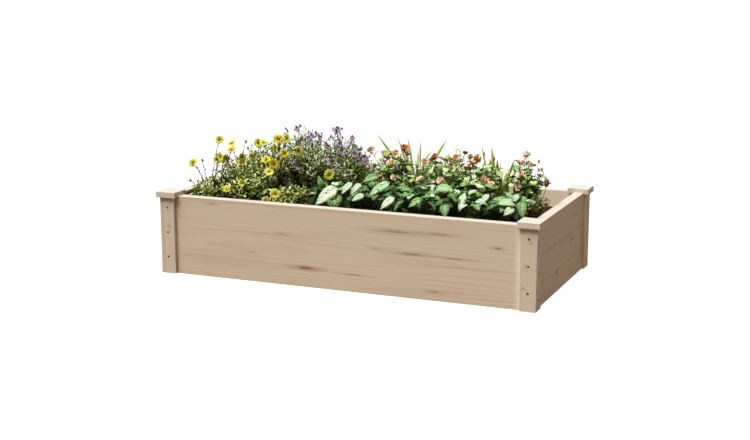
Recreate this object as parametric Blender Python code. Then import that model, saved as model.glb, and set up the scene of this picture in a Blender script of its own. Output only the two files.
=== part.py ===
"""A planted raised bed: a low softwood box of four posts and four boards, capped at its corners,
screwed together, filled with soil and planted with flowering and foliage plants.

Metres, +Z up, +X along the bed's length. The origin is the middle of the footprint, on the ground.
"""
import math
import random

import bmesh
import bpy
from mathutils import Matrix, Vector

# The box, measured over the outer faces of its posts
LENGTH = 1.199
WIDTH = 0.593
POST_SIZE = 0.049
POST_HEIGHT = 0.238
CAP_SIZE = 0.067
CAP_THICKNESS = 0.018
BOARD_THICKNESS = 0.030
BOARD_HEIGHT = 0.2435
LONG_BOARD_RECESS = 0.0108
END_BOARD_RECESS = 0.0068
EASED_EDGE = 0.0012
GAP = 0.0003

# The screws: three through each outer face of a post, into the end of the board behind it
SCREW_LENGTH = 0.085
SCREW_HEAD_RADIUS = 0.0038
SCREW_HEAD_HEIGHT = 0.0036
SCREW_RIM = 0.0024
SCREW_SHANK_RADIUS = 0.0022
SCREW_TIP_HEIGHT = 0.006
SCREW_SINK = 0.0015
SCREW_SIDES = 6
SCREW_HEIGHTS = (0.052, 0.129, 0.207)
END_SCREW_DROP = 0.022

# The soil, and the roots that hold the plants in it
SOIL_TOP = 0.190
SOIL_SWELL = 0.005
SOIL_CELLS = (14, 6)
ROOT_DEPTH = 0.040
ROOT_STAND = 0.040
ROOT_RADIUS = 0.013
ROOT_SIDES = 6
LEAF_CLEARANCE = 0.010

# The planting plan: kind, name, place along and across the bed, height over the ground
PLANTS = (
    ("daisy", "yellow_daisy_1", -0.490, -0.168, 0.410),
    ("daisy", "yellow_daisy_2", -0.352, -0.163, 0.365),
    ("daisy", "yellow_daisy_3", -0.214, -0.168, 0.330),
    ("daisy", "yellow_daisy_4", -0.486, 0.000, 0.385),
    ("daisy", "yellow_daisy_5", -0.350, 0.004, 0.400),
    ("daisy", "yellow_daisy_6", -0.490, 0.168, 0.360),
    ("aster", "purple_aster_1", -0.214, 0.000, 0.440),
    ("aster", "purple_aster_2", -0.352, 0.170, 0.420),
    ("aster", "purple_aster_3", -0.214, 0.168, 0.412),
    ("aster", "purple_aster_4", -0.076, 0.004, 0.430),
    ("aster", "purple_aster_5", -0.074, 0.170, 0.330),
    ("broad", "broad_leaf_1", -0.078, -0.165, 0.300),
    ("broad", "broad_leaf_2", 0.062, -0.168, 0.305),
    ("broad", "broad_leaf_3", 0.201, -0.165, 0.315),
    ("broad", "broad_leaf_4", 0.340, -0.168, 0.310),
    ("broad", "broad_leaf_5", 0.478, -0.165, 0.300),
    ("grass", "strap_grass_1", 0.066, 0.168, 0.395),
    ("grass", "strap_grass_2", 0.344, 0.168, 0.385),
    ("bloom", "orange_bloom_1", 0.062, 0.000, 0.390),
    ("bloom", "orange_bloom_2", 0.202, 0.004, 0.390),
    ("bloom", "orange_bloom_3", 0.205, 0.170, 0.365),
    ("bloom", "orange_bloom_4", 0.341, 0.000, 0.400),
    ("bloom", "orange_bloom_5", 0.478, 0.000, 0.398),
)
SPREAD = Vector((0.062, 0.074, 0.0))
GOLDEN_ANGLE = math.pi * (3 - math.sqrt(5))

# A shrub's rings, as shares of the plant's rise and spread, and how far its clefts cut in
SHRUB_SIDES = 9
SHRUB_RINGS = ((0.22, 0.72), (0.52, 0.92), (0.82, 0.66))
SHRUB_BRANCH = (0.92, 1.00)
SHRUB_CLEFT = (0.66, 0.76)
SHRUB_WANDER = (0.94, 1.06)

# Stalks, heads, spires, leaves and blades
STALK_SIDES = 5
DAISY_HEADS = 5
DAISY_HEAD = (0.011, 0.005)
DAISY_STALK = 0.0022
DAISY_NOD = Vector((0.1, -0.6, 0.4))
SPIRES = 6
SPIRE_OUTLINE = ((0, 0), (0.011, 0.50), (0.007, 0.85), (0, 1.00))
BROAD_LEAVES = 8
BROAD_LEAF = (0.050, 0.005)
BROAD_STALK = 0.0030
BLADES = 8
BLADE = (0.011, 0.003)
BLOOM_HEADS = 5
BLOOM_HEAD = (0.014, 0.014, 0.012)
BLOOM_STALK = 0.0024
LEAF_RINGS = ((0.28, 0.95), (0.68, 0.80))

# Colour, roughness and metallic value of each material
FINISHES = {
    "pale_softwood": ((0.52, 0.39, 0.28), 0.62, 0.0),
    "zinc_steel": ((0.30, 0.28, 0.25), 0.45, 0.9),
    "dark_soil": ((0.030, 0.018, 0.011), 0.95, 0.0),
    "daisy_green": ((0.42, 0.40, 0.06), 0.70, 0.0),
    "aster_green": ((0.26, 0.20, 0.30), 0.70, 0.0),
    "broad_green": ((0.10, 0.30, 0.07), 0.60, 0.0),
    "grass_green": ((0.22, 0.38, 0.06), 0.55, 0.0),
    "bloom_green": ((0.50, 0.20, 0.08), 0.65, 0.0),
}


def clear_scene():
    for thing in list(bpy.data.objects):
        bpy.data.objects.remove(thing, do_unlink=True)


def finish(name):
    """The material of that name, made when it is first asked for."""
    material = bpy.data.materials.get(name)
    if material is None:
        colour, roughness, metallic = FINISHES[name]
        material = bpy.data.materials.new(name)
        material.use_nodes = True
        shader = material.node_tree.nodes["Principled BSDF"]
        shader.inputs["Base Color"].default_value = (*colour, 1.0)
        shader.inputs["Roughness"].default_value = roughness
        shader.inputs["Metallic"].default_value = metallic
    return material


def new_object(name, bm, material=None):
    """Turns a bmesh into a named object. One without a material is a cutter."""
    bmesh.ops.recalc_face_normals(bm, faces=bm.faces)
    mesh = bpy.data.meshes.new(name)
    bm.to_mesh(mesh)
    bm.free()
    thing = bpy.data.objects.new(name, mesh)
    bpy.context.collection.objects.link(thing)
    if material:
        mesh.materials.append(finish(material))
    else:
        thing.hide_render = True
        thing.display_type = "WIRE"
    return thing


def boolean(thing, other, operation, own_parts=False):
    step = thing.modifiers.new(other.name, "BOOLEAN")
    step.operation = operation
    step.solver = "EXACT"
    step.use_self = own_parts
    step.object = other


def add_box(bm, low, high):
    """Adds a box between two corners."""
    low, high = Vector(low), Vector(high)
    size = Matrix.Diagonal((*(high - low), 1.0))
    bmesh.ops.create_cube(bm, size=1.0, matrix=Matrix.Translation((low + high) / 2) @ size)


def add_loft(bm, rings):
    """Skins a run of rings of points. A ring of one point is a pole."""
    loops = [[bm.verts.new(point) for point in ring] for ring in rings]
    for low, high in zip(loops, loops[1:]):
        sides = max(len(low), len(high))
        for i in range(sides):
            j = (i + 1) % sides
            corners = (
                low[i % len(low)], low[j % len(low)], high[j % len(high)], high[i % len(high)]
            )
            bm.faces.new(list(dict.fromkeys(corners)))


def circle(place, radius, height, sides):
    """Points round the Z axis of a place, or the one point on the axis."""
    if radius == 0:
        return [place @ Vector((0, 0, height))]
    turns = [math.tau * i / sides for i in range(sides)]
    return [place @ Vector((radius * math.cos(a), radius * math.sin(a), height)) for a in turns]


def add_turned(bm, place, profile, sides):
    """Adds a solid turned about the Z axis of a place, from pole to pole."""
    add_loft(bm, [circle(place, radius, height, sides) for radius, height in profile])


def facing(point, direction):
    """A place at a point, with its Z axis along a direction."""
    turn = Vector(direction).to_track_quat("Z", "Y").to_matrix().to_4x4()
    return Matrix.Translation(point) @ turn


# The wooden box


def wooden_box(name, low, high, cutters=()):
    """A planed piece of wood with eased edges, drilled or notched by its cutters."""
    bm = bmesh.new()
    add_box(bm, low, high)
    thing = new_object(name, bm, "pale_softwood")
    ease = thing.modifiers.new("eased_edges", "BEVEL")
    ease.width = EASED_EDGE
    ease.segments = 2
    for cutter in cutters:
        boolean(thing, cutter, "DIFFERENCE")
    return thing


def board_boxes():
    """The two corners of each board, by name."""
    long_end = LENGTH / 2 - POST_SIZE - GAP
    long_face = WIDTH / 2 - LONG_BOARD_RECESS
    short_end = WIDTH / 2 - POST_SIZE - GAP
    short_face = LENGTH / 2 - END_BOARD_RECESS
    boxes = {}
    for name, side in (("front_board", -1), ("rear_board", 1)):
        faces = sorted((side * long_face, side * (long_face - BOARD_THICKNESS)))
        boxes[name] = ((-long_end, faces[0], 0), (long_end, faces[1], BOARD_HEIGHT))
    for name, side in (("left_board", -1), ("right_board", 1)):
        faces = sorted((side * short_face, side * (short_face - BOARD_THICKNESS)))
        boxes[name] = ((faces[0], -short_end, 0), (faces[1], short_end, BOARD_HEIGHT))
    return boxes


def corners():
    """The name and the signs of X and Y of each corner."""
    for depth, across in (("front", -1), ("rear", 1)):
        for side, along in (("left", -1), ("right", 1)):
            yield f"{depth}_{side}", along, across


def square(along, across, middle, size, low, high):
    """The corners of a square upright block around a corner post's middle."""
    x, y = along * middle[0], across * middle[1]
    return (x - size / 2, y - size / 2, low), (x + size / 2, y + size / 2, high)


def post_middle():
    return (LENGTH - POST_SIZE) / 2, (WIDTH - POST_SIZE) / 2


def screw_places():
    """The name of each screw and its place, with Z pointing out of the wood at the head's top."""
    middle_x, middle_y = post_middle()
    long_line = WIDTH / 2 - LONG_BOARD_RECESS - BOARD_THICKNESS / 2
    for corner, along, across in corners():
        for i, height in enumerate(SCREW_HEIGHTS, 1):
            face = across * (WIDTH / 2 - SCREW_SINK)
            yield (
                f"{corner}_screw_{i}",
                facing((along * middle_x, face, height), (0, across, 0)),
            )
        for i, height in enumerate(SCREW_HEIGHTS, 1):
            face = along * (LENGTH / 2 - SCREW_SINK)
            yield (
                f"{corner}_end_screw_{i}",
                facing((face, across * long_line, height - END_SCREW_DROP), (along, 0, 0)),
            )


def screw_profile(margin, top=0.0):
    """A countersunk screw's outline from its tip to its head, or that of the hole around it."""
    head = SCREW_HEAD_RADIUS + margin
    shank = SCREW_SHANK_RADIUS + margin
    return (
        (0, -SCREW_LENGTH - margin),
        (shank, SCREW_TIP_HEIGHT - SCREW_LENGTH - margin),
        (shank, -SCREW_HEAD_HEIGHT - margin),
        (head, SCREW_RIM - SCREW_HEAD_HEIGHT),
        (head, top),
        (0, top),
    )


def build_screws():
    """Makes the screws and returns the cutter for their holes."""
    holes = bmesh.new()
    for name, place in screw_places():
        bm = bmesh.new()
        add_turned(bm, place, screw_profile(0), SCREW_SIDES)
        new_object(name, bm, "zinc_steel")
        add_turned(holes, place, screw_profile(GAP, 2 * SCREW_SINK), SCREW_SIDES)
    return new_object("screw_holes", holes)


def build_box():
    holes = build_screws()
    notches = bmesh.new()
    for name, (low, high) in board_boxes().items():
        wooden_box(name, low, high, [holes])
        margin = Vector((GAP, GAP, GAP))
        add_box(notches, Vector(low) - margin, Vector(high) + margin)
    board_notches = new_object("board_notches", notches)
    for corner, along, across in corners():
        middle = post_middle()
        post = square(along, across, middle, POST_SIZE, 0, POST_HEIGHT)
        wooden_box(f"{corner}_post", *post, [holes])
        top = POST_HEIGHT + GAP
        cap = square(along, across, middle, CAP_SIZE, top, top + CAP_THICKNESS)
        wooden_box(f"{corner}_cap", *cap, [board_notches])


# The soil


def soil_height(x, y):
    """The raked surface: long low swells, highest near the middle."""
    swell = math.sin(17 * x + 3 * y) * math.cos(21 * y - 5 * x)
    return SOIL_TOP + SOIL_SWELL * (0.6 * swell + 0.4 * math.cos(math.pi * y / WIDTH))


def build_soil(root_sockets):
    """Soil down to the ground, notched round the posts, with a socket for each root."""
    half_x = LENGTH / 2 - END_BOARD_RECESS - BOARD_THICKNESS - GAP
    half_y = WIDTH / 2 - LONG_BOARD_RECESS - BOARD_THICKNESS - GAP
    bm = bmesh.new()
    bmesh.ops.create_grid(
        bm, x_segments=SOIL_CELLS[0], y_segments=SOIL_CELLS[1], size=1.0,
        matrix=Matrix.Diagonal((half_x, half_y, 1.0, 1.0)),
    )
    for vert in bm.verts:
        vert.co.z = soil_height(vert.co.x, vert.co.y)
    rim = [edge for edge in bm.edges if edge.is_boundary]
    walls = bmesh.ops.extrude_edge_only(bm, edges=rim)["geom"]
    for vert in (part for part in walls if isinstance(part, bmesh.types.BMVert)):
        vert.co.z = 0.0
    bottom = [edge for edge in bm.edges if edge.is_boundary]
    bmesh.ops.edgeloop_fill(bm, edges=bottom)
    soil = new_object("soil", bm, "dark_soil")

    posts = bmesh.new()
    for _, along, across in corners():
        add_box(posts, *square(along, across, post_middle(), POST_SIZE + 2 * GAP, -GAP, 1.0))
    boolean(soil, new_object("post_corners", posts), "DIFFERENCE")
    boolean(soil, root_sockets, "DIFFERENCE")


# The plants. Each is one solid: stems, leaves and heads joined to a root


def around(i, count, outer, inner=0.0):
    """The i-th of count places spread evenly over a plant's round, from inner to outer reach."""
    angle = i * GOLDEN_ANGLE + 0.4
    out = inner + (outer - inner) * math.sqrt((i + 0.5) / count)
    return Vector((SPREAD.x * out * math.cos(angle), SPREAD.y * out * math.sin(angle), 0))


def add_stalk(bm, start, end, radius):
    """Adds a stalk that thins to half its radius."""
    length = (end - start).length
    profile = ((0, 0), (radius, 0.1 * length), (radius / 2, length), (0, length + radius))
    add_turned(bm, facing(start, end - start), profile, STALK_SIDES)


def add_disc(bm, point, direction, radius, thickness):
    """Adds a flat round head, thickest at its middle."""
    profile = ((0, -thickness), (radius, 0), (0, thickness / 2))
    add_turned(bm, facing(point, direction), profile, 7)


def add_lobe(bm, middle, radii, rng):
    """Adds a faceted round mass of leaves or petals."""
    size = Matrix.Translation(middle) @ Matrix.Diagonal((*radii, 1.0))
    made = bmesh.ops.create_icosphere(bm, subdivisions=1, radius=1.0, matrix=size)
    for vert in made["verts"]:
        vert.co = middle.lerp(vert.co, rng.uniform(0.86, 1.0))


def add_shrub(bm, base, rise, rng):
    """Adds the leafy body of a plant: a faceted dome with clefts between its branches."""
    rings = [[base + Vector((0, 0, LEAF_CLEARANCE))]]
    for ring, (height, reach) in enumerate(SHRUB_RINGS):
        points = []
        for i in range(SHRUB_SIDES):
            angle = math.tau * (i + 0.5 * (ring % 2)) / SHRUB_SIDES
            out = reach * rng.uniform(*(SHRUB_BRANCH if i % 3 else SHRUB_CLEFT))
            lift = LEAF_CLEARANCE + rise * height * rng.uniform(*SHRUB_WANDER)
            side = Vector((SPREAD.x * math.cos(angle), SPREAD.y * math.sin(angle), 0))
            points.append(base + out * side + Vector((0, 0, lift)))
        rings.append(points)
    add_loft(bm, [*rings, [base + Vector((0, 0, LEAF_CLEARANCE + rise))]])


def add_blade(bm, base, tip, rise, width, thickness):
    """Adds a leaf or a blade: an arched lens, widest near its middle."""
    across = (tip - base).cross(Vector((0, 0, 1))).normalized() * width / 2
    over = across.cross(tip - base).normalized() * thickness / 2
    rings = [[base]]
    for t, share in LEAF_RINGS:
        middle = base.lerp(tip, t) + Vector((0, 0, rise * math.sin(math.pi * t)))
        half = across * share
        rings.append([middle - half, middle - over, middle + half, middle + over])
    add_loft(bm, [*rings, [tip]])


def daisy(bm, base, rise, rng):
    """A low leafy tuft with daisy heads on wiry stalks."""
    add_shrub(bm, base, 0.50 * rise, rng)
    for i in range(DAISY_HEADS):
        top = base + around(i, DAISY_HEADS, 0.84, inner=0.1)
        top.z += rise * (0.94 - 0.30 * i / DAISY_HEADS)
        add_stalk(bm, base + Vector((0, 0, 0.20 * rise)), top, DAISY_STALK)
        add_disc(bm, top, (top - base).normalized() + DAISY_NOD, *DAISY_HEAD)


def aster(bm, base, rise, rng):
    """A dense upright bush with short spires of small flowers."""
    add_shrub(bm, base, 0.76 * rise, rng)
    for i in range(SPIRES):
        foot = base + around(i, SPIRES, 0.50) + Vector((0, 0, 0.42 * rise))
        length = rise * (0.58 - 0.16 * i / SPIRES)
        profile = [(radius, share * length) for radius, share in SPIRE_OUTLINE]
        add_turned(bm, Matrix.Translation(foot), profile, STALK_SIDES)


def broad(bm, base, rise, rng):
    """Broad pointed leaves that arch out from the crown on short stalks."""
    for i in range(BROAD_LEAVES):
        out = around(i, BROAD_LEAVES, 1.0, inner=0.45)
        lift = rise * (0.86 - 0.50 * i / BROAD_LEAVES)
        elbow = base + 0.22 * out + Vector((0, 0, lift))
        drop = rise * rng.uniform(0.22, 0.30)
        tip = base + 0.97 * out + Vector((0, 0, lift - drop))
        crown = base + Vector((0, 0, 0.02))
        add_stalk(bm, crown, elbow, BROAD_STALK)
        add_blade(bm, elbow.lerp(crown, 0.08), tip, 0.10 * rise, *BROAD_LEAF)


def grass(bm, base, rise, rng):
    """A fan of strap leaves over a low tuft."""
    add_lobe(
        bm, base + Vector((0, 0, LEAF_CLEARANCE + 0.20 * rise)),
        (0.5 * SPREAD.x, 0.5 * SPREAD.y, 0.20 * rise), rng,
    )
    for i in range(BLADES):
        tip = base + around(i, BLADES, 0.92) + Vector((0, 0, rise * (1.0 - 0.35 * i / BLADES)))
        add_blade(bm, base + Vector((0, 0, 0.02)), tip, 0.03 * rise, *BLADE)


def bloom(bm, base, rise, rng):
    """A rounded leafy bush with full flower heads above it."""
    add_shrub(bm, base, 0.74 * rise, rng)
    for i in range(BLOOM_HEADS):
        top = base + around(i, BLOOM_HEADS, 0.76, inner=0.1)
        top.z += rise * (0.95 - 0.20 * i / BLOOM_HEADS)
        add_stalk(bm, base + Vector((0, 0, 0.30 * rise)), top, BLOOM_STALK)
        add_lobe(bm, top, BLOOM_HEAD, rng)


def add_root(bm, x, y, margin):
    """Adds a plant's root, or with a margin its socket in the soil."""
    radius = ROOT_RADIUS + margin
    low = -ROOT_DEPTH - margin
    profile = ((0, low), (0.7 * radius, low), (radius, ROOT_STAND), (0, ROOT_STAND))
    add_turned(bm, Matrix.Translation((x, y, soil_height(x, y))), profile, ROOT_SIDES)


def build_plants():
    """Makes the plants and returns the cutter for their sockets in the soil."""
    kinds = {"daisy": daisy, "aster": aster, "broad": broad, "grass": grass, "bloom": bloom}
    sockets = bmesh.new()
    for seed, (kind, name, x, y, height) in enumerate(PLANTS):
        bm = bmesh.new()
        base = Vector((x, y, soil_height(x, y)))
        kinds[kind](bm, base, height - base.z, random.Random(seed))
        plant = new_object(name, bm, f"{kind}_green")
        root = bmesh.new()
        add_root(root, x, y, 0)
        boolean(plant, new_object(f"{name}_root", root), "UNION", own_parts=True)
        add_root(sockets, x, y, GAP)
    return new_object("root_sockets", sockets)


def main():
    clear_scene()
    build_box()
    build_soil(build_plants())


main()
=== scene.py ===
# %% [markdown]
# # A planted raised bed
# The bed is a low softwood box with a capped post at each corner, filled with soil and planted
# with daisies, asters, broad-leaved plants, strap grasses and orange-flowered plants. The packed
# frame already holds the wood, the screws and a plain solid for each plant. This lesson keeps the
# wood, gives it a finish, and grows real leaves and flowers where the plain solids stand.

# %% The frame
import math
import random

import bmesh
import bpy
import numpy as np
from mathutils import Matrix, Vector


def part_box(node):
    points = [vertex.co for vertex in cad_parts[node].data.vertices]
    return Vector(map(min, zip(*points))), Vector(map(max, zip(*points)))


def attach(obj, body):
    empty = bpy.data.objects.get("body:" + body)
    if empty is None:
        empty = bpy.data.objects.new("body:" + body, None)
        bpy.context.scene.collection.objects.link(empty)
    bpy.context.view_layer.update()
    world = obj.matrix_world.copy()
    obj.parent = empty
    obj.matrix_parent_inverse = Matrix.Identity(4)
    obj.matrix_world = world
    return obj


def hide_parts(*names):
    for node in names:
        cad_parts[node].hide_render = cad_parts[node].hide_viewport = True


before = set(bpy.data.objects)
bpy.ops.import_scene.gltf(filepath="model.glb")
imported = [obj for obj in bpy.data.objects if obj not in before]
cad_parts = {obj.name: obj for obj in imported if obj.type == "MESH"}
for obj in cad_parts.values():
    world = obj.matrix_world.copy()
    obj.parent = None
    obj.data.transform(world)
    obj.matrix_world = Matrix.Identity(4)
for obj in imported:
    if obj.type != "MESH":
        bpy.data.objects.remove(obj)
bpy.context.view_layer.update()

UP = Vector((0, 0, 1))
SWELL = 0.004  # how far clods rise above the soil's level
SOIL_LOW, SOIL_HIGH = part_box("soil")
SOIL_LEVEL = SOIL_HIGH.z - SWELL

# %% [markdown]
# ## Camera
# The view is from the front right, a little above the caps. A long lens keeps the upright edges
# of the posts parallel, as a catalogue view does.

# %% Camera
VIEW_TURN, VIEW_DIP = math.radians(22.61), math.radians(12.08)


def add_object(name, data):
    """Puts a new object into the scene."""
    piece = bpy.data.objects.new(name, data)
    bpy.context.collection.objects.link(piece)
    return piece


eye = add_object("eye", bpy.data.cameras.new("eye"))
eye.location = (1.5845, -3.8218, 1.0419)
eye.rotation_euler = (math.pi / 2 - VIEW_DIP, 0, VIEW_TURN)
eye.data.lens = 65.2
eye.data.sensor_width = 36.0
bpy.context.scene.camera = eye
print(f"camera {eye.location.length:.2f} m from the bed's middle")

# %% [markdown]
# ## Selecting and shaping
# Every tool of Blender's edit mode acts on what is selected. These helpers start a primitive from
# a clean selection and pick its points by place, so each later step reads like work by hand.

# %% Selecting and shaping


def start(primitive, **settings):
    """Adds a primitive, the only thing selected, and opens it in edit mode."""
    bpy.ops.object.select_all(action="DESELECT")
    primitive(**settings)
    bpy.ops.object.transform_apply(location=True, rotation=True, scale=True)
    bpy.ops.object.mode_set(mode="EDIT")
    return bpy.context.object


def pick(piece, test):
    """In edit mode, selects the points whose place passes a test."""
    bpy.ops.mesh.select_all(action="DESELECT")
    bm = bmesh.from_edit_mesh(piece.data)
    for vert in bm.verts:
        vert.select = bool(test(vert.co))
    bm.select_flush(True)
    bmesh.update_edit_mesh(piece.data)


def pick_all():
    bpy.ops.mesh.select_all(action="SELECT")


def move(offset):
    bpy.ops.transform.translate(value=offset)


def resize(factors, about=(0, 0, 0)):
    bpy.ops.transform.resize(value=factors, center_override=about)


def face_outward():
    pick_all()
    bpy.ops.mesh.normals_make_consistent(inside=False)


def select_only(piece):
    """In object mode, makes a piece the only one selected, and the active one."""
    bpy.ops.object.select_all(action="DESELECT")
    piece.select_set(True)
    bpy.context.view_layer.objects.active = piece


def modify(piece, kind, **settings):
    """Gives the active piece a modifier, and applies it."""
    step = piece.modifiers.new(kind, kind)
    for key, value in settings.items():
        setattr(step, key, value)
    bpy.ops.object.modifier_apply(modifier=step.name)


def close_up(piece, name):
    """Leaves edit mode, shades a piece and names it."""
    bpy.ops.object.mode_set(mode="OBJECT")
    bpy.ops.object.shade_smooth()
    piece.name = piece.data.name = name
    return piece


print("shaping helpers ready")

# %% [markdown]
# ## Writing a finish
# A finish is a small calculation, done again at each point of the surface. Written as nodes it
# soon gets long. Here a value carries its socket and knows arithmetic, so that an expression in
# Python adds the Math nodes, and every other node comes from one method.

# %% Writing a finish


class Flow:
    """A value in a finish. Arithmetic on it adds Math nodes."""

    def __init__(self, recipe, socket):
        self.recipe, self.socket = recipe, socket

    def math(self, operation, *others):
        inputs = dict(enumerate((self, *others)))
        return self.recipe.node("ShaderNodeMath", {"operation": operation}, inputs)

    def __add__(self, other):
        return self.math("ADD", other)

    def __sub__(self, other):
        return self.math("SUBTRACT", other)

    def __mul__(self, other):
        return self.math("MULTIPLY", other)

    def __pow__(self, other):
        return self.math("POWER", other)

    def __rsub__(self, other):
        return self * -1 + other

    __radd__ = __add__


class Recipe:
    """A node tree, and the few kinds of node that the finishes need."""

    def __init__(self, tree):
        self.tree = tree

    def node(self, kind, settings, sockets, out=0):
        """Adds a node: its settings first, then the values or links of its sockets."""
        made = self.tree.nodes.new(kind)
        for key, value in settings.items():
            setattr(made, key, value)
        for key, value in sockets.items():
            self.feed(made.inputs[key], value)
        return Flow(self, made.outputs[out])

    def feed(self, socket, value):
        if isinstance(value, Flow):
            self.tree.links.new(value.socket, socket)
        elif socket.type == "RGBA":
            socket.default_value = (*value, 1.0)
        else:
            socket.default_value = value

    def place(self, kind="Object"):
        return self.node("ShaderNodeTexCoord", {}, {}, out=kind)

    def split(self, vector):
        """The three parts of a vector."""
        first = self.node("ShaderNodeSeparateXYZ", {}, {0: vector})
        return [Flow(self, output) for output in first.socket.node.outputs]

    def vector(self, operation, a, b, out=0):
        return self.node("ShaderNodeVectorMath", {"operation": operation}, {0: a, 1: b}, out)

    def noise(self, where, scale, detail=2.0):
        sockets = {"Vector": where, "Scale": scale, "Detail": detail}
        return self.node("ShaderNodeTexNoise", {}, sockets)

    def ease(self, value, low, high):
        """0 below low, 1 above high, and a smooth step between. Low may be the larger."""
        sockets = {"Value": value, "From Min": low, "From Max": high}
        return self.node("ShaderNodeMapRange", {"interpolation_type": "SMOOTHSTEP"}, sockets)

    def blend(self, share, first, second):
        sockets = {0: share, 6: first, 7: second}
        return self.node("ShaderNodeMix", {"data_type": "RGBA"}, sockets, out=2)

    def ramp(self, value, *stops):
        """A colour that runs through stops, each a value and its colour."""
        made = self.node("ShaderNodeValToRGB", {}, {0: value})
        marks = made.socket.node.color_ramp.elements
        for _ in stops[len(marks):]:
            marks.new(1.0)
        for mark, (place, colour) in zip(marks, stops):
            mark.position, mark.color = place, (*colour, 1.0)
        return made

    def attribute(self, name):
        return self.node("ShaderNodeAttribute", {"attribute_name": name}, {}, out="Fac")


class Finish(Recipe):
    """A material whose shader takes a colour and, if given, a roughness and a bump."""

    def __init__(self, name, **constants):
        self.material = bpy.data.materials.new(name)
        self.material.use_nodes = True
        super().__init__(self.material.node_tree)
        self.shader = self.tree.nodes["Principled BSDF"]
        for key, value in constants.items():
            self.shader.inputs[key.replace("_", " ")].default_value = value

    def wear(self, colour, roughness=None, height=None, depth=0.001):
        self.feed(self.shader.inputs["Base Color"], colour)
        if roughness is not None:
            self.feed(self.shader.inputs["Roughness"], roughness)
        if height is not None:
            bump = {"Height": height, "Distance": depth, "Strength": 1.0}
            self.feed(self.shader.inputs["Normal"], self.node("ShaderNodeBump", {}, bump))
        return self.material


print("finish helpers ready")

# %% [markdown]
# ## Floor and light
# A studio lights such a bed with one soft sun-like lamp from the upper left, in front, and lets
# pale surroundings fill the shadows. The sky dome is brightest at the horizon, as studio walls
# are, and warm from below, as light off a floor is. The floor itself is nearly white and glows a
# little, so that the bed's shadow stays faint. It is hidden from bounced light, whose place the
# dome's warm lower half takes. Behind the bed the camera sees plain white.

# %% Floor and light
SUN_FROM = Vector((-0.2, -0.38, 0.9))
FLOOR_GLOW, WALL_GLOW, SKY_GLOW = (0.098, 0.046, 0.026), (0.49, 0.415, 0.275), (0.245, 0.202, 0.137)
HAIR = 0.0004  # the floor lies this far under the posts' feet
floor = start(bpy.ops.mesh.primitive_plane_add, size=60, location=(0, 0, -HAIR))
bpy.ops.mesh.subdivide(number_cuts=3)
close_up(floor, "floor")
floor.visible_diffuse = False
floor_paint = Finish("floor_paint", Roughness=0.9, Emission_Strength=0.95)
floor_paint.shader.inputs["Emission Color"].default_value = (1, 1, 1, 1)
floor.data.materials.append(floor_paint.wear((0.12, 0.12, 0.12)))

sun = add_object("sun", bpy.data.lights.new("sun", "SUN"))
sun.rotation_euler = SUN_FROM.to_track_quat("Z", "Y").to_euler()
sun.data.energy = 4.5
sun.data.angle = math.radians(36)
sun.data.color = (0.92, 1.0, 1.03)

dome = bpy.data.worlds.new("dome")
dome.use_nodes = True
bpy.context.scene.world = dome
air = Recipe(dome.node_tree)
height = air.split(air.place("Generated"))[2] * 0.5 + 0.5
glow = air.ramp(height, (0.0, FLOOR_GLOW), (0.49, FLOOR_GLOW), (0.505, WALL_GLOW),
                (0.54, WALL_GLOW), (0.62, SKY_GLOW), (1.0, SKY_GLOW))
seen = air.node("ShaderNodeLightPath", {}, {}, out="Is Camera Ray")
backdrop = air.blend(seen, glow, (1.0, 1.0, 1.0))
air.feed(dome.node_tree.nodes["Background"].inputs["Color"], backdrop)
bpy.context.scene.view_settings.view_transform = "Standard"
print(f"sun {sun.data.energy} from {tuple(SUN_FROM)}")

# %% [markdown]
# ## Wood
# The box is planed fir or pine, left bare. Its annual rings show as pale and darker lines that
# run the length of each board and up each post, and its knots as small brown eyes that the lines
# flow round. The rings are worked out as they grow: the distance from the tree's middle line,
# bent a little by noise that is stretched along the grain. Cut ends show arcs without more work.

# %% Wood
PALE = (0.722, 0.573, 0.4)
PINKISH = (0.73, 0.553, 0.397)
LATE_WOOD = (0.545, 0.38, 0.235)
# Painted bounce light and warm shade: an orange cast.
PAINTED_BOUNCE_ORANGE = (0.7, 0.49, 0.27)
STREAK = (0.43, 0.245, 0.105)
KNOT = (0.165, 0.075, 0.028)
# Painted highlights: one for the end of a board, one for top faces and lit pieces.
PAINTED_END_HIGHLIGHT = (0.98, 0.83, 0.63)
PAINTED_LIGHT_PALE = (0.715, 0.66, 0.6)
RINGS_PER_METRE = 170.0
STRETCHES = (1.1, 9.0, 9.0), (1.3, 60.0, 60.0), (4.0, 300.0, 300.0)
NOWHERE, EVERYWHERE = 9.0, -9.0


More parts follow.
